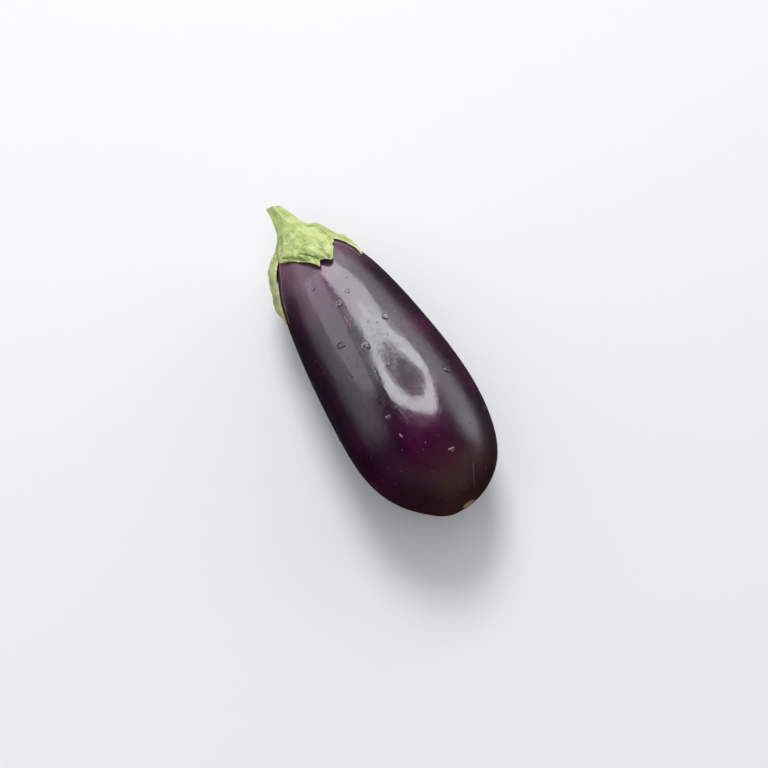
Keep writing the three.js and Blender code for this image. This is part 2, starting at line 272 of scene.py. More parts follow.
# the ragged tip of the front lobe: across it from -1 to 1, arc length
RAGGED_U = [-1, -0.62, -0.34, -0.05, 0.42, 0.72, 1]
RAGGED_S = [48.3, 52.3, 48.7, 50.0, 51.8, 51.5, 47.4]
SHOULDER = 2.0  # the calyx stands up on its +Y side, near the stem
COLS = 60
CAP_ROWS = 34
LOBE_ROWS = 66


def reach(s):
    return at_arc(s)[1] + 1.5


def calyx_face(k, U, T, outer):
    """Points of one lobe's share of the calyx and what its material needs."""
    L = LOBES[k]
    before = NOTCH_S[(k - 1) % 5]
    notch = before + (NOTCH_S[k] - before) * (U + 1) / 2
    at, half = math.radians(L["at"]), math.radians(L["half"])
    v = np.clip(T - 1, 0, 1)
    t = np.clip(T, 0, 1)
    tip = np.full_like(U, float(L["tip"]))
    if L["name"] == "front":
        tip = np.interp(U, RAGGED_U, RAGGED_S) + 0.35 * noise(np.stack([U * 5.3, U * 0, U * 0], -1), 15) + 0.16 * noise(np.stack([U * 14.0, U * 0, U * 0], -1), 16)
    else:
        tip = tip - (tip - notch) * 0.05 * U * U
    s = np.where(T <= 1, SEAM_S + (notch - SEAM_S) * t, notch + (tip - notch) * v)
    root = half * reach(notch)
    shape = (1 - v) * np.exp(-L["narrow"] * 2 * v)
    width = L["end"] + (root - L["end"]) * shape + L["blade"] * smooth(0.0, 0.3, v) * (1 - v**5)
    # the edges waver
    edge_wave = 1 + 0.05 * np.sin(9 * v + k) * v * (1 - v) * 4 + 0.03 * np.sin(21 * v + 2 * k) * v
    rad_at = reach(notch) + (reach(s) - reach(notch)) * np.where(T <= 1, 0, v)
    swing = v * (1.6 - 0.6 * v) if L["name"] == "front" else v
    ang = np.where(T <= 1, at + half * U, at + math.radians(L["drift"]) * swing + U * width * edge_wave / rad_at)
    # how far from the edge, in millimetres
    side = (1 - np.abs(U)) * width
    cap_gap = np.hypot((1 - np.abs(U)) * half * reach(s), (1 - t) * (notch - SEAM_S))
    edge = np.where(T <= 1, cap_gap, side)
    if L["name"] == "front":
        edge = np.minimum(edge, np.where(T <= 1, 1e3, (1 - v) * (tip - notch)))
    edge = np.where(T <= 1, np.minimum(edge, cap_gap), edge)
    hump = np.sin(np.pi * np.minimum(1, v ** (math.log(0.5) / math.log(L["peak"]))))
    lift = L["lift"] * hump + L["flick"] * smooth(0.5, 1.0, v) ** 1.5
    # a lobe that stands off the skin already does so at its root
    lift = lift + L["root"] * np.where(T <= 1, smooth(0.25, 1.0, t) * (1 - U * U), (1 - v) ** 2 * (1 - U * U * (1 - v) ** 3))
    # a twisted lobe turns its lower edge outwards
    edges = np.where(T <= 1, smooth(0.5, 1.0, t) * (1 - U * U), 1 - U * U * (1 - v) ** 3)
    lift = lift + L["twist"] * (1 - U) / 2 * edges * (1 - 0.75 * smooth(0.7, 1.0, v))
    lift = lift + SHOULDER * np.exp(-(((s - 17) / 8) ** 2)) * np.exp(-((((np.degrees(ang) - 60 + 180) % 360 - 180) / 36) ** 2))
    # the thin margin turns up off the skin
    lift = lift + L["curl"] * np.exp(-((edge / 2.2) ** 2)) * smooth(0.0, 0.35, v) * (1 - 0.6 * v)
    if L["name"] == "front":
        lift = lift + 0.7 * smooth(0.55, 1.0, v) * np.sin(5 * U + 1)
    base = skin(s, ang)
    # relief of the outer face: ribs from the stem, veins, wrinkles
    ribs = np.zeros_like(U)
    for c, w, h in ((0, 0.085, 0.8), (-0.42, 0.07, 0.55), (0.42, 0.07, 0.55), (-0.78, 0.06, 0.3), (0.78, 0.06, 0.3)):
        wander = c * (1 - 0.1 * v) + 0.05 * noise(np.stack([T * 2.5, U * 0 + k * 3.7 + c, U * 0], -1), 5)
        ribs = ribs + h * np.exp(-(((U - wander) / w) ** 2))
    ribs = ribs * (1 - 0.75 * v) * smooth(0.05, 0.5, T)
    q = base / [7.5, 3.4, 3.4]
    folds = noise(q, 3) + 0.4 * noise(q * 2.1, 4) + 1.1 * noise(q * 0.45 + 3.0, 19)
    creases = -np.exp(-((noise(base / [4.4, 2.9, 2.9], 6) / 0.13) ** 2))
    fine = noise(base / 0.9, 8)
    calm = smooth(0.0, 0.35, T)
    relief = ribs + calm * (0.40 * folds + 0.14 * creases) + 0.04 * fine
    pleat = np.zeros_like(U)
    if L["name"] == "front":
        bend = U + 0.06 * np.sin(5 * v + 1)
        for c, w, h in ((-0.62, 0.15, 0.75), (-0.34, 0.08, -1.7), (0.02, 0.17, 1.0), (0.36, 0.07, -1.4), (0.70, 0.13, 0.8)):
            pleat = pleat + h * np.exp(-(((bend - c) / w) ** 2)) * smooth(0.15, 0.7, v)
        pleat = pleat - 1.7 * np.exp(-(((edge - 4.6 - 0.8 * np.sin(7 * v)) / 1.5) ** 2)) * smooth(0.0, -0.35, U) * smooth(0.0, 0.2, v) * smooth(1.0, 0.7, v)
    relief = relief + 0.95 * pleat
    thick = 0.45 + 1.25 * (1 - np.exp(-edge / 1.6)) * (1 - 0.45 * v)
    rise = SEAM_RISE * np.exp(-(s - SEAM_S) / SEAM_FADE) * (T <= 1)
    # folds of the thin part move both faces together
    both = calm * 0.30 * folds * smooth(0.6, 1.3, T) + 0.25 * np.sin(3.2 * np.pi * v + k) * smooth(2.5, 0, edge) * v
    both = np.maximum(both, -0.05 * np.ones_like(both) - np.minimum(lift, 1.0) * 0.5)
    if outer:
        h = CALYX_GAP + lift + both + thick + rise + relief * smooth(0.0, 1.5, edge) * (0.35 + 0.65 * calm)
    else:
        h = CALYX_GAP + lift + both
    p = base + outward(s, ang) * h[..., None]
    rim = 1 - smooth(0.2, 1.2, edge)
    rim = rim * smooth(0.75, 1.02, T)
    # browner, drier lobe tips; on the left lobe also painted shade
    dry = smooth(0.72, 1.0, v) * {"front": 0.0, "right": 0.3, "left": 0.35}.get(L["name"], 1.0)
    # the left lobe darkens and dulls from its root on: painted shade, as it faces away from the light
    if L["name"] == "left":
        dry = dry + 0.52 * smooth(0.0, 0.30, v) + 0.20 * smooth(0.3, 0.75, v)
    # fold shading for the colour: painted shade in folds, creases and pleat valleys (above zero), painted highlight on
    # ribs and ridges (below zero)
    crease = calm * (-0.42 * folds - 0.5 * creases) - 0.4 * ribs - 0.6 * pleat
    return p, rim, dry, crease, ang * rad_at, s


def build_green():
    pts, rim, dry, crease, lane, run = [], [], [], [], [], []

    def push(P, a, b, c, d, e):
        start = sum(len(x) for x in pts)
        n = P.reshape(-1, 3).shape[0]
        pts.append(P.reshape(-1, 3))
        rim.append(a.ravel())
        dry.append(b.ravel())
        crease.append(c.ravel())
        lane.append(d.ravel())
        run.append(e.ravel())
        return np.arange(start, start + n)

    count = 5 * COLS
    faces = []
    sharp = []
    face_rows = []
    for outer in (0, 1):
        T = np.linspace(0, 1, CAP_ROWS + 1) ** 1.15
        cap_idx = np.zeros((CAP_ROWS + 1, count), int)
        for k in range(5):
            u = -1 + 2 * np.arange(COLS) / COLS
            UU, TT = np.meshgrid(u, T, indexing="xy")
            cap_idx[:, k * COLS:(k + 1) * COLS] = push(*calyx_face(k, UU, TT, outer)).reshape(CAP_ROWS + 1, COLS)
        lobes = []
        for k in range(5):
            first = cap_idx[-1, (k * COLS + np.arange(COLS + 1)) % count]
            u = -1 + 2 * np.arange(COLS + 1) / COLS
            v = np.linspace(0, 1, LOBE_ROWS + 1)[1:]
            UU, TT = np.meshgrid(u, 1 + v, indexing="xy")
            idx = push(*calyx_face(k, UU, TT, outer)).reshape(LOBE_ROWS, COLS + 1)
            lobes.append(np.vstack([first[None], idx]))
        face_rows.append((cap_idx, lobes))

    def grid(idx, closed, flip):
        n = idx.shape[1]
        for i in range(idx.shape[0] - 1):
            for c in range(n if closed else n - 1):
                d = (c + 1) % n
                f = (idx[i, c], idx[i + 1, c], idx[i + 1, d], idx[i, d])
                faces.append(tuple(int(x) for x in (f[::-1] if flip else f)))

    for outer, (cap, lobes) in enumerate(face_rows):
        grid(cap, True, outer == 0)
        for rows in lobes:
            grid(rows, False, outer == 0)
    P = np.concatenate(pts)
    # smooth the joins between neighbouring lobes' shares of the cap
    for cap, _ in face_rows:
        for row in cap:
            ring = P[row]
            for k in range(5):
                i = (k * COLS) % count
                for off in range(-5, 6):
                    j = (i + off) % count
                    w = 0.5 * (1 - abs(off) / 6)
                    avg = (ring[(j - 3) % count] + ring[(j + 3) % count]) / 2
                    P[row[j]] = ring[j] * (1 - w) + avg * w
    inner, outer = face_rows
    seam = outer[0][0]
    hub_point = P[seam].mean(0)
    pole_point = skin(0.0, 0.0) + np.array([-CALYX_GAP, 0, 0])
    hub, pole = len(P), len(P) + 1
    P = np.vstack([P, hub_point, pole_point])
    for c in range(count):
        d = (c + 1) % count
        faces.append((hub, int(seam[c]), int(seam[d])))
        faces.append((pole, int(inner[0][0][d]), int(inner[0][0][c])))
        sharp.append((int(seam[c]), int(seam[d])))
    for k in range(5):
        a, b = inner[1][k], outer[1][k]
        for i in range(LOBE_ROWS):
            faces.append(tuple(map(int, (b[i, 0], a[i, 0], a[i + 1, 0], b[i + 1, 0]))))
            faces.append(tuple(map(int, (a[i, -1], b[i, -1], b[i + 1, -1], a[i + 1, -1]))))
        for c in range(COLS):
            faces.append(tuple(map(int, (a[-1, c], a[-1, c + 1], b[-1, c + 1], b[-1, c]))))
    extra = [np.concatenate(x + [np.zeros(2)]) for x in (rim, dry, crease, lane, run)]
    calyx = mesh_object(
        "calyx_leaf", rest(P), faces, node="calyx", sharp=sharp,
        attributes={"rim": extra[0], "dry": extra[1], "crease": extra[2], "lane": extra[3], "run": extra[4], "cut": np.zeros(len(P))},
    )

    # --- the stem, from the same ring of points
    ring = P[seam]
    ang = np.arctan2(ring[:, 1] - hub_point[1], ring[:, 2] - hub_point[2])
    base = np.hypot(ring[:, 1] - hub_point[1], ring[:, 2] - hub_point[2])
    N = 90
    tt = np.linspace(0, 1, N + 1)
    spts, scut, stem_fold_shading = [], [], []
    for t in tt:
        w = (1 - t) ** 1.15
        grow = min(1.0, 2.2 * t)
        wander = 0.25 * math.sin(2.3 * t)
        ridge = 0.050 * np.cos(6 * ang + 0.5 + wander) + 0.020 * np.cos(11 * ang + 1.1 - wander)
        groove = -np.exp(-((np.cos(3 * ang + 0.25 + 0.5 * wander) / 0.16) ** 2)) * 0.045
        r = (base * w + STEM_R * (1 - w)) * (1 + (ridge + groove) * grow) * (1 + 0.05 * t**6)
        y = hub_point[1] + STEM_SWAY * t * t + r * np.sin(ang)
        z = hub_point[2] + STEM_LIFT * t + r * np.cos(ang)
        start = ring[:, 0]
        end = hub_point[0] - STEM_LENGTH + math.tan(CUT_SLANT) * r * np.sin(ang)
        x = start + (end - start) * t
        q = np.stack([x, y, z], -1)
        bump = (0.10 * noise(q / [7, 1.6, 1.6], 11) + 0.05 * noise(q / [2.4, 0.7, 0.7], 12)) * grow
        centre = np.array([0, hub_point[1] + STEM_SWAY * t * t, hub_point[2] + STEM_LIFT * t])
        out = np.stack([np.zeros_like(ang), np.sin(ang), np.cos(ang)], -1)
        q = q + out * bump[:, None]
        spts.append(q)
        scut.append(np.zeros(count))
        # painted shade in the stem's grooves and painted highlight on its ridges
        stem_fold_shading.append((-6 * (ridge + groove) * grow) - 2 * bump)
    side_rows = len(spts)
    # the cut end: a slightly sunk pith inside a pale ring
    rim_ring = spts[-1]
    c_end = np.array([hub_point[0] - STEM_LENGTH, hub_point[1] + STEM_SWAY, hub_point[2] + STEM_LIFT])
    for f in (0.965, 0.93, 0.88, 0.82, 0.74, 0.64, 0.52, 0.38, 0.22, 0.1):
        q = c_end + (rim_ring - c_end) * f
        depth = 0.28 * smooth(0.98, 0.8, f) + 0.35 * smooth(0.5, 0.1, f) + 0.12 * noise(q / 0.8, 14)
        if f > 0.95:
            depth = -0.05 * np.ones(count)
        q = q + np.array([1.0, 0, 0]) * depth[:, None] if np.ndim(depth) else q + np.array([1.0, 0, 0]) * depth
        spts.append(q)
        scut.append(np.full(count, 1.0 - f * 0.8))
        stem_fold_shading.append(np.zeros(count))
    SP = np.concatenate(spts)
    n = count
    sf, ssharp = [], []
    for i in range(len(spts) - 1):
        for c in range(n):
            d = (c + 1) % n
            sf.append((i * n + c, i * n + d, (i + 1) * n + d, (i + 1) * n + c))
    A0, B0 = len(SP), len(SP) + 1
    SP = np.vstack([SP, hub_point, c_end + np.array([0.6, 0, 0])])
    last = (len(spts) - 1) * n
    for c in range(n):
        d = (c + 1) % n
        sf.append((A0, d, c))
        sf.append((B0, last + c, last + d))
        ssharp.append((c, d))
        ssharp.append(((side_rows - 1) * n + c, (side_rows - 1) * n + d))
    z2 = np.zeros(2)
    stem = mesh_object(
        "stem_stalk", rest(SP), sf, node="stem", sharp=ssharp,
        attributes={
            "cut": np.concatenate(scut + [np.array([0.0, 1.0])]),
            "crease": np.concatenate(stem_fold_shading + [z2]),
            "rim": np.zeros(len(SP)),
            "dry": np.zeros(len(SP)),
            "lane": np.concatenate([np.tile(ang * 9.0, len(spts)), [0, 0]]),
            "run": np.concatenate([np.repeat(np.arange(len(spts)) * -0.2, count), [0, 0]]),
        },
    )
    return calyx, stem


fruit = build_fruit()
calyx, stem = build_green()


# ---------------------------------------------------------------------------
# Camera, floor and light
# ---------------------------------------------------------------------------
AZIMUTH, ELEVATION = math.radians(59.95), math.radians(75.4)
LENS, DISTANCE = 70.0, 0.868
BACK = Vector((math.sin(AZIMUTH) * math.cos(ELEVATION), -math.cos(AZIMUTH) * math.cos(ELEVATION), math.sin(ELEVATION)))
RIGHT = Vector((math.cos(AZIMUTH), math.sin(AZIMUTH), 0))
UP = BACK.cross(RIGHT)
middle = Vector(rest(np.array([97.0, 0, 0])) * MM)
target = middle + RIGHT * 0.0043 - UP * 0.0116
cam_data = bpy.data.cameras.new("camera")
cam_data.lens = LENS
cam_data.sensor_width = 36
cam_data.clip_start, cam_data.clip_end = 0.02, 20
cam = bpy.data.objects.new("camera", cam_data)
cam.location = target + BACK * DISTANCE
cam.rotation_mode = "QUATERNION"
cam.rotation_quaternion = (-BACK).to_track_quat("-Z", "Y")
bpy.context.scene.collection.objects.link(cam)
bpy.context.scene.camera = cam

floor_mesh = bpy.data.meshes.new("floor")
floor_mesh.from_pydata([(-4, -4, 0), (4, -4, 0), (4, 4, 0), (-4, 4, 0)], [], [(0, 1, 2, 3)])
floor = bpy.data.objects.new("floor", floor_mesh)
bpy.context.scene.collection.objects.link(floor)

# ---------------------------------------------------------------------------
# Shader helpers
# ---------------------------------------------------------------------------
class Nodes:
    def __init__(self, tree):
        self.t = tree
        tree.nodes.clear()

    def new(self, kind, **settings):
        n = self.t.nodes.new(kind)
        for k, v in settings.items():
            setattr(n, k, v)
        return n

    def put(self, socket, value):
        if hasattr(value, "is_output"):
            self.t.links.new(value, socket)
        else:
            socket.default_value = value

    def math(self, op, a, b=0.0, c=0.0, clamp=False):
        n = self.new("ShaderNodeMath", operation=op, use_clamp=clamp)
        for i, v in enumerate((a, b, c)):
            self.put(n.inputs[i], v)
        return n.outputs[0]

    def ramp(self, value, lo, hi, to_lo=0.0, to_hi=1.0):
        n = self.new("ShaderNodeMapRange", interpolation_type="SMOOTHSTEP", clamp=True)
        for i, v in enumerate((value, lo, hi, to_lo, to_hi)):
            self.put(n.inputs[i], v)
        return n.outputs[0]

    def mix(self, factor, a, b, blend="MIX"):
        n = self.new("ShaderNodeMix", data_type="RGBA", blend_type=blend)
        self.put(n.inputs[0], factor)
        for i, v in ((6, a), (7, b)):
            self.put(n.inputs[i], v if hasattr(v, "is_output") else (*v, 1))
        return n.outputs[2]

    def attribute(self, name):
        return self.new("ShaderNodeAttribute", attribute_name=name).outputs["Fac"]

    def coords(self, scale=(1, 1, 1)):
        c = self.new("ShaderNodeTexCoord").outputs["Object"]
        m = self.new("ShaderNodeMapping")
        self.put(m.inputs["Vector"], c)
        m.inputs["Scale"].default_value = scale
        return m.outputs[0]

    def noise(self, vector, scale, detail=2.0, rough=0.5, distort=0.0):
        n = self.new("ShaderNodeTexNoise")
        self.put(n.inputs["Vector"], vector)
        n.inputs["Scale"].default_value = scale
        n.inputs["Detail"].default_value = detail
        n.inputs["Roughness"].default_value = rough
        n.inputs["Distortion"].default_value = distort
        return n.outputs["Fac"]

    def cells(self, vector, scale):
        n = self.new("ShaderNodeTexVoronoi", feature="F1")
        self.put(n.inputs["Vector"], vector)
        n.inputs["Scale"].default_value = scale
        return n.outputs["Distance"], n.outputs["Color"]

    def bump(self, height, distance, strength=1.0, normal=None):
        n = self.new("ShaderNodeBump")
        n.inputs["Strength"].default_value = strength
        n.inputs["Distance"].default_value = distance
        self.put(n.inputs["Height"], height)
        if normal is not None:
            self.put(n.inputs["Normal"], normal)
        return n.outputs[0]


def material(name):
    m = bpy.data.materials.new(name)
    m.use_nodes = True
    n = Nodes(m.node_tree)
    out = n.new("ShaderNodeOutputMaterial")
    b = n.new("ShaderNodeBsdfPrincipled")
    n.put(out.inputs[0], b.outputs[0])
    return m, n, b


# ---------------------------------------------------------------------------
# Studio light: pale walls at the height of the fruit, a dark ceiling, one large panel
# ---------------------------------------------------------------------------
world = bpy.data.worlds.new("studio")
bpy.context.scene.world = world
world.use_nodes = True
n = Nodes(world.node_tree)
out = n.new("ShaderNodeOutputWorld")
bg = n.new("ShaderNodeBackground")
n.put(out.inputs[0], bg.outputs[0])
direction = n.new("ShaderNodeTexCoord").outputs["Generated"]
xyz = n.new("ShaderNodeSeparateXYZ")
n.put(xyz.inputs[0], direction)
ramp = n.new("ShaderNodeValToRGB")
n.put(ramp.inputs[0], n.math("MULTIPLY_ADD", xyz.outputs["Z"], 0.5, 0.5))
stops = [(0.0, 0.012), (0.34, 0.015), (0.45, 0.14), (0.53, 0.50), (0.62, 0.66), (0.74, 0.60), (0.81, 0.16), (0.86, 0.05), (1.0, 0.02)]
ramp.color_ramp.interpolation = "B_SPLINE"
while len(ramp.color_ramp.elements) < len(stops):
    ramp.color_ramp.elements.new(0.5)
for e, (at, value) in zip(ramp.color_ramp.elements, stops):
    e.position = at
    e.color = (value * 0.97, value * 0.985, value, 1)
# the walls are bright behind the stem end and dim on the other side
facing = n.math("ADD", n.math("MULTIPLY", xyz.outputs["X"], -0.966), n.math("MULTIPLY", xyz.outputs["Y"], 0.259))
n.put(bg.inputs["Color"], ramp.outputs[0])
side = n.ramp(xyz.outputs["Y"], -0.35, 0.55, 0.82, 1.45)
glow = n.math("MULTIPLY", n.ramp(xyz.outputs["Y"], 0.78, 0.96), n.ramp(facing, 0.05, 0.38, 1.1, 0))
n.put(bg.inputs["Strength"], n.math("ADD", glow, n.math("MULTIPLY", side, n.ramp(facing, -0.25, 0.22, 0.2, 2.15))))
bpy.context.scene.view_settings.view_transform = "Standard"

floor.visible_glossy = False


def panel(name, strips, strength, behind=0.0):
    """A glowing sheet in the plane of the light panel, as strips of quads."""
    e, a = math.radians(52), math.radians(160)
    d = np.array([math.cos(e) * math.cos(a), math.cos(e) * math.sin(a), math.sin(e)])
    o = np.array([0.05, 0, 0.08]) + d * (1.5 + behind)
    x = np.array([-math.sin(a), math.cos(a), 0]) * (1 + behind / 1.5)
    y = np.cross(x, -d)
    pts, faces = [], []
    for inner, outer in strips:
        start = len(pts)
        for p in list(inner) + list(outer):
            pts.append(tuple(o + x * p[0] + y * p[1]))
        k = len(inner)
        for i in range(k - 1):
            faces.append((start + i, start + i + 1, start + k + i + 1, start + k + i))
    me = bpy.data.meshes.new(name)
    me.from_pydata(pts, [], faces)
    ob = bpy.data.objects.new(name, me)
    bpy.context.scene.collection.objects.link(ob)
    m = bpy.data.materials.new(name)
    m.use_nodes = True
    n = Nodes(m.node_tree)
    out = n.new("ShaderNodeOutputMaterial")
    em = n.new("ShaderNodeEmission")
    em.inputs["Strength"].default_value = strength
    em.inputs["Color"].default_value = (0.93, 0.955, 1.0, 1)
    n.put(out.inputs[0], em.outputs[0])
    me.materials.append(m)
    ob.visible_camera = False
    ob.visible_diffuse = False
    ob.visible_shadow = False
    return ob


def loop(points, centre, count=97):
    """A closed outline resampled by direction round a centre."""
    p = np.array(points) - centre
    ang = np.arctan2(p[:, 1], p[:, 0])
    order = np.argsort(ang)
    ang, rad = ang[order], np.hypot(*p[order].T)
    at = np.linspace(-np.pi, np.pi, count)
    long_ang = np.concatenate([ang - 2 * np.pi, ang, ang + 2 * np.pi])
    r = np.interp(at, long_ang, np.tile(rad, 3))
    r = 0.5 * r + 0.25 * (np.interp(at - 0.05, long_ang, np.tile(rad, 3)) + np.interp(at + 0.05, long_ang, np.tile(rad, 3)))
    return np.stack([np.cos(at) * r, np.sin(at) * r], 1) + centre


HOLE = np.array([-0.35, 0.05])
ring_in = loop([(-0.06, 0.06), (-0.28, -0.04), (-0.48, -0.12), (-0.70, -0.18), (-0.88, -0.24), (-0.98, -0.22), (-0.86, -0.05), (-0.66, 0.17), (-0.36, 0.36), (0, 0.4), (0.26, 0.39), (0.33, 0.33), (0.27, 0.22), (0.14, 0.12)], HOLE)
ring_out = loop([(0.38, 0.14), (0.54, 0.24), (0.76, 0.39), (0.8, 0.54), (0.62, 0.63), (0.24, 0.68), (-0.27, 0.69), (-0.68, 0.65), (-0.94, 0.47), (-1.01, 0.24), (-1.15, -0.09), (-1.25, -0.31), (-1.34, -0.56), (-1.26, -0.65), (-1.15, -0.65), (-1.01, -0.61), (-0.74, -0.45), (-0.35, -0.30), (0.0, -0.12)], HOLE)
panel("panel_ring", [(ring_in, ring_out)], 9.0)
panel(
    "panel_band",
    [
        (
            [(0.62, -0.95), (0.60, -0.75), (0.58, -0.55), (0.54, -0.39), (0.43, -0.21), (0.38, -0.11), (0.40, -0.02), (0.46, 0.16)],
            [(-0.10, -1.15), (-0.18, -1.0), (-0.28, -0.88), (-0.60, -0.89), (-0.85, -0.85), (-0.84, -0.71), (-0.78, -0.56), (-0.76, -0.40)],
        )
    ],
    6.0,
    0.02,
)
# a dim ceiling inside the ring and round it
panel("panel_dim", [(np.tile(HOLE, (97, 1)), ring_out)], 1.1, 0.04)
panel("panel_side", [([(0.30, -1.0), (0.35, -0.3), (0.38, 0.02), (0.75, 0.36), (1.6, 0.62)], [(3.6, -0.9), (3.8, -0.3), (4.0, 0.1), (4.2, 0.5), (4.4, 0.8)])], 1.4, 0.06)
panel("panel_side_core", [([(0.72, -0.46), (0.76, -0.12), (0.90, 0.10), (1.12, 0.32), (1.50, 0.52)], [(2.1, -0.60), (2.4, -0.32), (2.7, -0.05), (3.0, 0.28), (3.2, 0.56)])], 2.7, 0.05)


def area(name, centre, size_x, size_y, power, toward=(0, 0, 0.04), colour=(1, 1, 1)):
    data = bpy.data.lights.new(name, "AREA")
    data.shape = "RECTANGLE"
    data.size, data.size_y = size_x, size_y
    data.energy = power
    data.color = colour
    lamp = bpy.data.objects.new(name, data)
    lamp.location = centre
    lamp.rotation_mode = "QUATERNION"
    lamp.rotation_quaternion = (Vector(toward) - Vector(centre)).to_track_quat("-Z", "Y")
    lamp.visible_camera = False
    lamp.visible_glossy = False
    bpy.context.scene.collection.objects.link(lamp)
    return lamp


area("key", (-1.9, 0.67, 2.55), 1.1, 1.1, 74)
area("fill", (0.3, -0.6, 2.4), 3.0, 3.0, 34, colour=(0.96, 0.98, 1.0))


# ---------------------------------------------------------------------------
# Materials
# ---------------------------------------------------------------------------
m_skin, n, b = material("eggplant_skin")
along, scar = n.attribute("along"), n.attribute("scar")
obj = n.coords()
long_ = n.coords((0.22, 1, 1))
broad = n.noise(obj, 16, 2, 0.5)
colour = n.mix(n.ramp(broad, 0.40, 0.66), (0.0100, 0.0008, 0.0095), (0.050, 0.0020, 0.030))
streak = n.noise(long_, 300, 3, 0.6)
colour = n.mix(n.math("MULTIPLY", n.ramp(streak, 0.45, 0.75), 0.35), colour, (0.050, 0.006, 0.034))
# browner towards the blossom end
brown = n.math("MULTIPLY", n.ramp(along, ARC - 62, ARC - 14), n.ramp(n.noise(obj, 34, 3, 0.6), 0.30, 0.62, 0.35, 1.0))
colour = n.mix(n.math("MULTIPLY", brown, 0.88), colour, (0.074, 0.029, 0.021))
# paler, pinker skin where the calyx shaded it
edge = n.math("ADD", along, n.math("MULTIPLY", n.noise(long_, 210, 3, 0.65), 26))
pale = n.ramp(edge, 36, 84, 1, 0)
colour = n.mix(n.math("MULTIPLY", pale, 0.85), colour, (0.180, 0.088, 0.132))
# sparse pale specks: lenticels, and painted glints of tiny water drops
dist, tint = n.cells(obj, 330)
pick = n.new("ShaderNodeSeparateColor")
n.put(pick.inputs[0], tint)
speck_and_glint = n.math("MULTIPLY", n.ramp(dist, 0.06, 0.13, 1, 0), n.ramp(pick.outputs[0], 0.80, 0.84))
colour = n.mix(n.math("MULTIPLY", speck_and_glint, 0.7), colour, (0.27, 0.15, 0.19))
# a few dry scuffs along the fruit
scuff_line = n.ramp(n.noise(n.coords((0.30, 1, 1)), 430, 4, 0.7, 0.8), 0.66, 0.74)
scuff_where = n.ramp(n.noise(obj, 34, 2, 0.5, 0.3), 0.62, 0.70)
scuff = n.math("MULTIPLY", scuff_line, scuff_where)
colour = n.mix(n.math("MULTIPLY", scuff, 0.55), colour, (0.15, 0.060, 0.070))
# single scratches on the upper side: (arc length, angle) of both ends, half width
SCRATCHES = [
    ((56.1, -23.8), (54.8, -13.2), 0.30), ((54.8, -13.2), (58.4, -10.0), 0.24), ((56.1, -20.8), (58.2, -23.8), 0.28), ((58.2, -23.8), (60.2, -22.5), 0.34),
    ((87.5, -9.5), (91.6, -10.2), 0.26), ((91.6, -10.2), (94.4, -14.0), 0.22), ((90.1, -7.3), (94.6, -10.2), 0.20),
    ((151.5, -22.8), (151.8, -20.0), 0.38), ((164.0, -21.0), (165.8, -20.5), 0.30), ((185.2, 5.5), (185.0, 10.0), 0.40), ((185.2, 7.0), (186.8, 7.4), 0.30),
    ((198.0, 23.2), (211.8, 18.8), 0.12),
]
place = n.new("ShaderNodeCombineXYZ")
n.put(place.inputs[0], n.math("ADD", along, n.math("MULTIPLY", n.math("SUBTRACT", n.noise(obj, 520, 3, 0.6), 0.5), 2.2)))
n.put(place.inputs[1], n.math("ADD", n.attribute("across"), n.math("MULTIPLY", n.math("SUBTRACT", n.noise(obj, 640, 3, 0.6), 0.5), 2.0)))


def vec(op, a, b=None, factor=None):
    v = n.new("ShaderNodeVectorMath", operation=op)
    n.put(v.inputs[0], a)
    if b is not None:
        n.put(v.inputs[1], b)
    if factor is not None:
        n.put(v.inputs["Scale"], factor)
    return v


scratch = 0.0
for (s0, a0), (s1, a1), half in SCRATCHES:
    p0 = (s0, 40 * math.sin(math.radians(a0)), 0)
    d = (s1 - s0, 40 * math.sin(math.radians(a1)) - p0[1], 0)
    off = vec("SUBTRACT", place.outputs[0], p0).outputs[0]
    share = n.math("DIVIDE", vec("DOT_PRODUCT", off, d).outputs["Value"], d[0] ** 2 + d[1] ** 2, clamp=True)
    on_line = n.new("ShaderNodeCombineXYZ")
    n.put(on_line.inputs[0], n.math("MULTIPLY", share, d[0]))
    n.put(on_line.inputs[1], n.math("MULTIPLY", share, d[1]))
    gap = vec("LENGTH", vec("SUBTRACT", off, on_line.outputs[0]).outputs[0]).outputs["Value"]
    scratch = n.math("MAXIMUM", scratch, n.ramp(gap, half * 0.4, half * 1.8, 1, 0))
scratch = n.math("MULTIPLY", scratch, n.ramp(n.attribute("upper"), 0.0, 0.15))
colour = n.mix(n.math("MULTIPLY", scratch, n.ramp(along, 110, 140, 0.5, 0.7)), colour, n.mix(n.ramp(along, 110, 140), (0.20, 0.070, 0.115), (0.34, 0.24, 0.29)))
# the corky blossom scar
crack = n.noise(obj, 620, 4, 0.7)
scar_edge = n.math("ADD", scar, n.math("MULTIPLY", n.math("SUBTRACT", crack, 0.5), 2.4))
cork = n.ramp(scar_edge, 4.1, 5.0, 1, 0)
halo = n.ramp(scar_edge, 5.0, 8.6, 1, 0)
colour = n.mix(n.math("MULTIPLY", halo, 0.75), colour, (0.085, 0.032, 0.018))
cork_colour = n.mix(n.ramp(crack, 0.35, 0.65), (0.20, 0.115, 0.055), (0.50, 0.37, 0.20))
colour = n.mix(cork, colour, cork_colour)
n.put(b.inputs["Base Color"], colour)
haze = n.noise(obj, 85, 4, 0.6)
rough = n.ramp(haze, 0.3, 0.72, 0.13, 0.25)
rough = n.math("ADD", rough, n.math("MULTIPLY", n.math("MAXIMUM", scuff, scratch), 0.25))
rough = n.math("ADD", rough, n.math("MULTIPLY", pale, 0.05))
rough = n.math("MAXIMUM", rough, n.math("MULTIPLY", cork, 0.7))
n.put(b.inputs["Roughness"], rough)
n.put(b.inputs["Coat Weight"], n.math("MULTIPLY", n.math("SUBTRACT", 1.0, cork), 0.55))
b.inputs["Coat Roughness"].default_value = 0.085
b.inputs["IOR"].default_value = 1.47
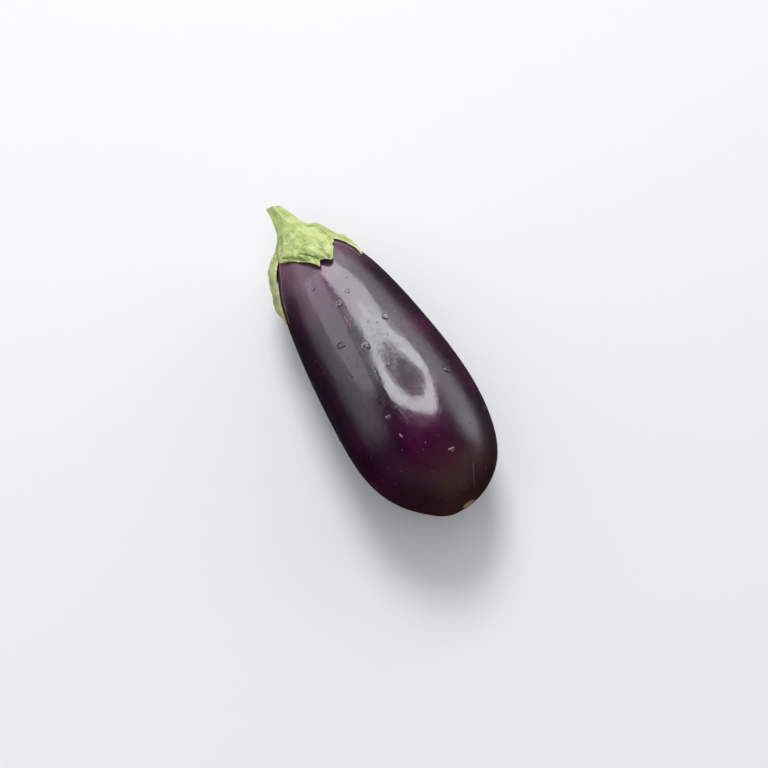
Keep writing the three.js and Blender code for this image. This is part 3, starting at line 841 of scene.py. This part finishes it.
height = n.noise(obj, 900, 2, 0.5)
fine = n.bump(height, 0.000012)
ripple = n.noise(n.coords((0.6, 1, 1)), 95, 3, 0.55)
strokes = n.noise(n.coords((0.45, 1, 1)), 380, 3, 0.6)
wavy = n.bump(ripple, 0.00045, 1.0, n.bump(strokes, 0.00010, 1.0, fine))
marks = n.bump(n.math("SUBTRACT", n.math("MULTIPLY", crack, cork), n.math("MULTIPLY", n.math("ADD", speck_and_glint, n.math("ADD", scuff, n.math("MULTIPLY", scratch, 2.5))), 0.08)), 0.0006, 1.0, wavy)
n.put(b.inputs["Normal"], marks)
fruit.data.materials.append(m_skin)


def green(name):
    m, n, b = material(name)
    obj = n.coords()
    rim, dry, crease, cut = (n.attribute(k) for k in ("rim", "dry", "crease", "cut"))
    lane, run = n.attribute("lane"), n.attribute("run")
    vec = n.new("ShaderNodeCombineXYZ")
    n.put(vec.inputs[0], lane)
    n.put(vec.inputs[1], n.math("MULTIPLY", run, 0.10))
    fibre = n.noise(vec.outputs[0], 1.5, 4, 0.65)
    blotch = n.noise(obj, 130, 3, 0.6)
    colour = n.mix(n.ramp(blotch, 0.35, 0.68), (0.232, 0.302, 0.052), (0.392, 0.458, 0.150))
    colour = n.mix(n.math("MULTIPLY", n.ramp(fibre, 0.42, 0.70), 0.55), colour, (0.54, 0.60, 0.27))
    # painted shade: the green darkens in the folds, creases and pleat valleys
    painted_fold_shade = n.ramp(crease, 0.06, 0.70)
    colour = n.mix(n.math("MULTIPLY", painted_fold_shade, 0.85), colour, (0.105, 0.172, 0.028))
    # painted highlight: the green pales on raised ribs, folds and ridges
    colour = n.mix(n.math("MULTIPLY", n.ramp(crease, -0.55, -0.12, 1, 0), 0.35), colour, (0.55, 0.62, 0.33))
    dots = n.noise(obj, 1500, 2, 0.6)
    colour = n.mix(n.math("MULTIPLY", n.ramp(dots, 0.60, 0.72), 0.35), colour, (0.21, 0.30, 0.06))
    rim_worn = n.math("MULTIPLY", rim, n.ramp(n.noise(obj, 420, 3, 0.6), 0.25, 0.6, 0.45, 1.0))
    colour = n.mix(rim_worn, colour, n.mix(n.ramp(dots, 0.4, 0.65), (0.70, 0.68, 0.45), (0.48, 0.40, 0.22)))
    # dry, browner tips, and painted shade on the left lobe
    colour = n.mix(n.math("MULTIPLY", dry, 0.9), colour, n.mix(n.ramp(blotch, 0.35, 0.6), (0.15, 0.130, 0.042), (0.30, 0.275, 0.120)))
    bark = n.ramp(cut, 0.10, 0.24)
    pith = n.mix(n.ramp(n.noise(obj, 900, 3, 0.7), 0.35, 0.65), (0.62, 0.60, 0.36), (0.45, 0.43, 0.22))
    ringed = n.mix(n.math("MULTIPLY", n.ramp(cut, 0.40, 0.30), n.ramp(cut, 0.22, 0.30)), pith, (0.24, 0.25, 0.08))
    colour = n.mix(bark, colour, ringed)
    n.put(b.inputs["Base Color"], colour)
    rough = n.ramp(blotch, 0.3, 0.7, 0.50, 0.64)
    n.put(b.inputs["Roughness"], n.math("ADD", rough, n.math("MULTIPLY", rim, 0.12)))
    b.inputs["Specular IOR Level"].default_value = 0.45
    b.inputs["Sheen Weight"].default_value = 0.12
    b.inputs["Sheen Roughness"].default_value = 0.5
    b.inputs["Subsurface Weight"].default_value = 0.12
    b.inputs["Subsurface Radius"].default_value = (0.0012, 0.0016, 0.0006)
    b.inputs["Subsurface Scale"].default_value = 1.0
    one = n.bump(fibre, 0.00022)
    two = n.bump(n.noise(obj, 700, 4, 0.65), 0.00016, 1.0, one)
    n.put(b.inputs["Normal"], two)
    return m


calyx.data.materials.append(green("calyx_green"))
stem.data.materials.append(green("stem_green"))

m_water, n, b = material("water")
b.inputs["Base Color"].default_value = (0.72, 0.70, 0.76, 1)
b.inputs["Transmission Weight"].default_value = 1.0
b.inputs["IOR"].default_value = 1.333
n.put(b.inputs["Roughness"], n.ramp(n.noise(n.coords(), 260, 2, 0.5), 0.3, 0.7, 0.0, 0.03))
n.put(b.inputs["Normal"], n.bump(n.noise(n.coords(), 500, 2, 0.5), 0.00004))

m_floor, n, b = material("floor_pale")
n.put(b.inputs["Base Color"], n.mix(n.noise(n.coords(), 3, 2), (0.66, 0.665, 0.675), (0.68, 0.685, 0.695)))
b.inputs["Roughness"].default_value = 0.7
floor.data.materials.append(m_floor)


# ---------------------------------------------------------------------------
# Water drops: flat domes that sit on the skin. (arc length, angle, width, stretch, turn)
# ---------------------------------------------------------------------------
DROPS = [
    (110.0, -7.5, 5.6, 1.15, 20), (101.3, -25.2, 4.6, 1.35, 80), (78.8, -8.5, 4.6, 1.3, -40), (74.7, 4.5, 2.6, 1.2, 10),
    (99.5, 20.2, 4.4, 1.2, -60), (142.9, 40.5, 4.4, 1.15, 15), (126.8, -10.8, 2.4, 1.1, 0), (120.2, -30.2, 1.8, 1.0, 0),
    (61.7, -22.8, 2.2, 1.5, -50), (98.0, 5.2, 1.5, 1.0, 0), (101.0, 11.0, 1.2, 1.0, 0), (110.0, 12.8, 1.6, 1.1, 0),
    (152.6, -21.0, 2.3, 1.3, 70), (185.7, 7.8, 2.8, 1.5, 60), (183.4, -41.5, 1.2, 1.0, 0), (198.7, 8.8, 1.3, 1.0, 0),
    (210.2, 24.2, 1.2, 1.0, 0), (203.8, 43.5, 1.8, 1.7, 20), (163.8, -33.5, 0.9, 1.0, 0), (197.0, -21.8, 1.0, 1.0, 0),
    (169.7, 66.5, 2.6, 1.3, 30), (186.2, -35.8, 0.9, 1.0, 0), (66.0, 12.0, 1.3, 1.2, 30), (90.0, -14.0, 1.0, 1.0, 0),
    # round the far sides
    (92.0, 88.0, 3.4, 1.2, 10), (121.0, 104.0, 2.2, 1.1, 0), (76.0, 70.0, 1.6, 1.0, 0), (150.0, 92.0, 4.2, 1.2, 40),
    (104.0, -84.0, 3.0, 1.3, -20), (138.0, -96.0, 2.0, 1.1, 0), (84.0, -70.0, 1.4, 1.0, 0), (176.0, -82.0, 3.2, 1.2, 25),
    (196.0, 96.0, 1.6, 1.0, 0), (160.0, -112.0, 1.4, 1.0, 0),
]


_spray = np.random.default_rng(23)
for _ in range(70):
    _s, _a, _w = _spray.uniform(62, 214), _spray.uniform(-80, 80), _spray.uniform(0.55, 1.15)
    if _s > 150 or _w < 0.8:
        DROPS.append((_s, _a, _w, 1.0 + 0.5 * _spray.random(), 90 * _spray.random()))


def build_drops():
    pts, faces = [], []
    for index, (s0, a0, width, stretch, turn) in enumerate(DROPS):
        ang = math.radians(a0)
        c = skin(s0, ang)
        nrm = outward(s0, ang)
        e1 = skin(s0 + 0.2, ang) - skin(s0 - 0.2, ang)
        e1 /= np.linalg.norm(e1)
        e2 = np.cross(nrm, e1)
        t = math.radians(turn)
        f1, f2 = e1 * math.cos(t) + e2 * math.sin(t), -e1 * math.sin(t) + e2 * math.cos(t)
        x_here, r_here = at_arc(s0)
        half = width / 2
        R, K = (12, 40) if width > 1.2 else (5, 14)
        height = 0.17 * width
        start = len(pts)
        th = np.arange(K) * 2 * np.pi / K
        wob = 1 + 0.06 * np.cos(2 * th + index) + 0.05 * np.cos(3 * th + 2.1 * index)

        def ring(f, lift):
            du = f * half * wob * np.cos(th) * math.sqrt(stretch)
            dv = f * half * wob * np.sin(th) / math.sqrt(stretch)
            off = du[:, None] * f1 + dv[:, None] * f2
            s = s0 + off @ e1
            a = ang + (off @ e2) / r_here * (1 if np.dot(e2, skin(s0, ang + 0.02) - c) > 0 else -1)
            base = skin(s, a)
            base = base + outward(s, a) * (fruit_relief(s, a, base) + lift)[..., None]
            return base

        rings = []
        for i in range(1, R + 1):
            f = math.sin(0.5 * math.pi * i / R)
            dome = height * (1 - f ** 3.2) ** 0.62
            rings.append(ring(f, dome - 0.05 * (i == R)))
        rings.append(ring(0.93, -0.25))
        rings.append(ring(0.5, -0.3))
        top = ring(0.0, height)[0]
        bottom = ring(0.0, -0.3)[0]
        pts.extend(np.concatenate(rings).tolist())
        pts.append(top.tolist())
        pts.append(bottom.tolist())
        m = len(rings)
        T, Bt = start + m * K, start + m * K + 1
        for k in range(K):
            l = (k + 1) % K
            faces.append((T, start + k, start + l))
            for i in range(m - 1):
                faces.append((start + i * K + k, start + (i + 1) * K + k, start + (i + 1) * K + l, start + i * K + l))
            faces.append((Bt, start + (m - 1) * K + l, start + (m - 1) * K + k))
    ob = mesh_object("water_drops", rest(np.array(pts)), faces)
    ob.data.materials.append(m_water)
    # every face outwards
    import bmesh
    bm = bmesh.new()
    bm.from_mesh(ob.data)
    bmesh.ops.recalc_face_normals(bm, faces=bm.faces)
    bm.to_mesh(ob.data)
    bm.free()
    return ob


drops = build_drops()
